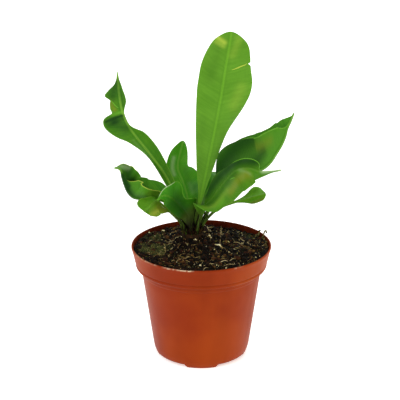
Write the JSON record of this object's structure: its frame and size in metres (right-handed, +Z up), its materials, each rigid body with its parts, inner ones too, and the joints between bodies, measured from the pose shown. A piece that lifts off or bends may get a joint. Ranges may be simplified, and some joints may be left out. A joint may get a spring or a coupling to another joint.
{
  "type": "potted fern",
  "caption": "Bird's-nest fern with strap-shaped entire fronds on a short crown, growing in soil in a tapered round nursery pot with a deep collar.",
  "frame": {"origin": "centre of the pot's foot ring, on the surface that it stands on, which is also the middle of the whole plant's outline", "axes": "+Z up along the pot's axis; -Y is the front, where the broad dark fronds lean out; +X is to the right seen from the front"},
  "size_m": [0.1616, 0.1215, 0.2761],
  "materials": {
    "pot_plastic": "satin",
    "potting_mix": "matte",
    "crown_scales": "matte",
    "young_leaf": "satin",
    "grown_leaf": "satin",
    "dark_leaf": "satin"
  },
  "bodies": {
    "root": {"pot": "pot_plastic", "soil": "potting_mix", "crown": "crown_scales", "frond_upright": "young_leaf", "frond_left_tall": "grown_leaf", "frond_back_left": "grown_leaf", "frond_right_tall": "grown_leaf", "frond_right_front": "dark_leaf", "frond_front_broad": "dark_leaf", "frond_left_trough": "grown_leaf", "frond_left_low": "dark_leaf", "frond_spoon": "grown_leaf", "frond_back": "grown_leaf", "frond_back_right": "grown_leaf"}
  },
  "joints": []
}
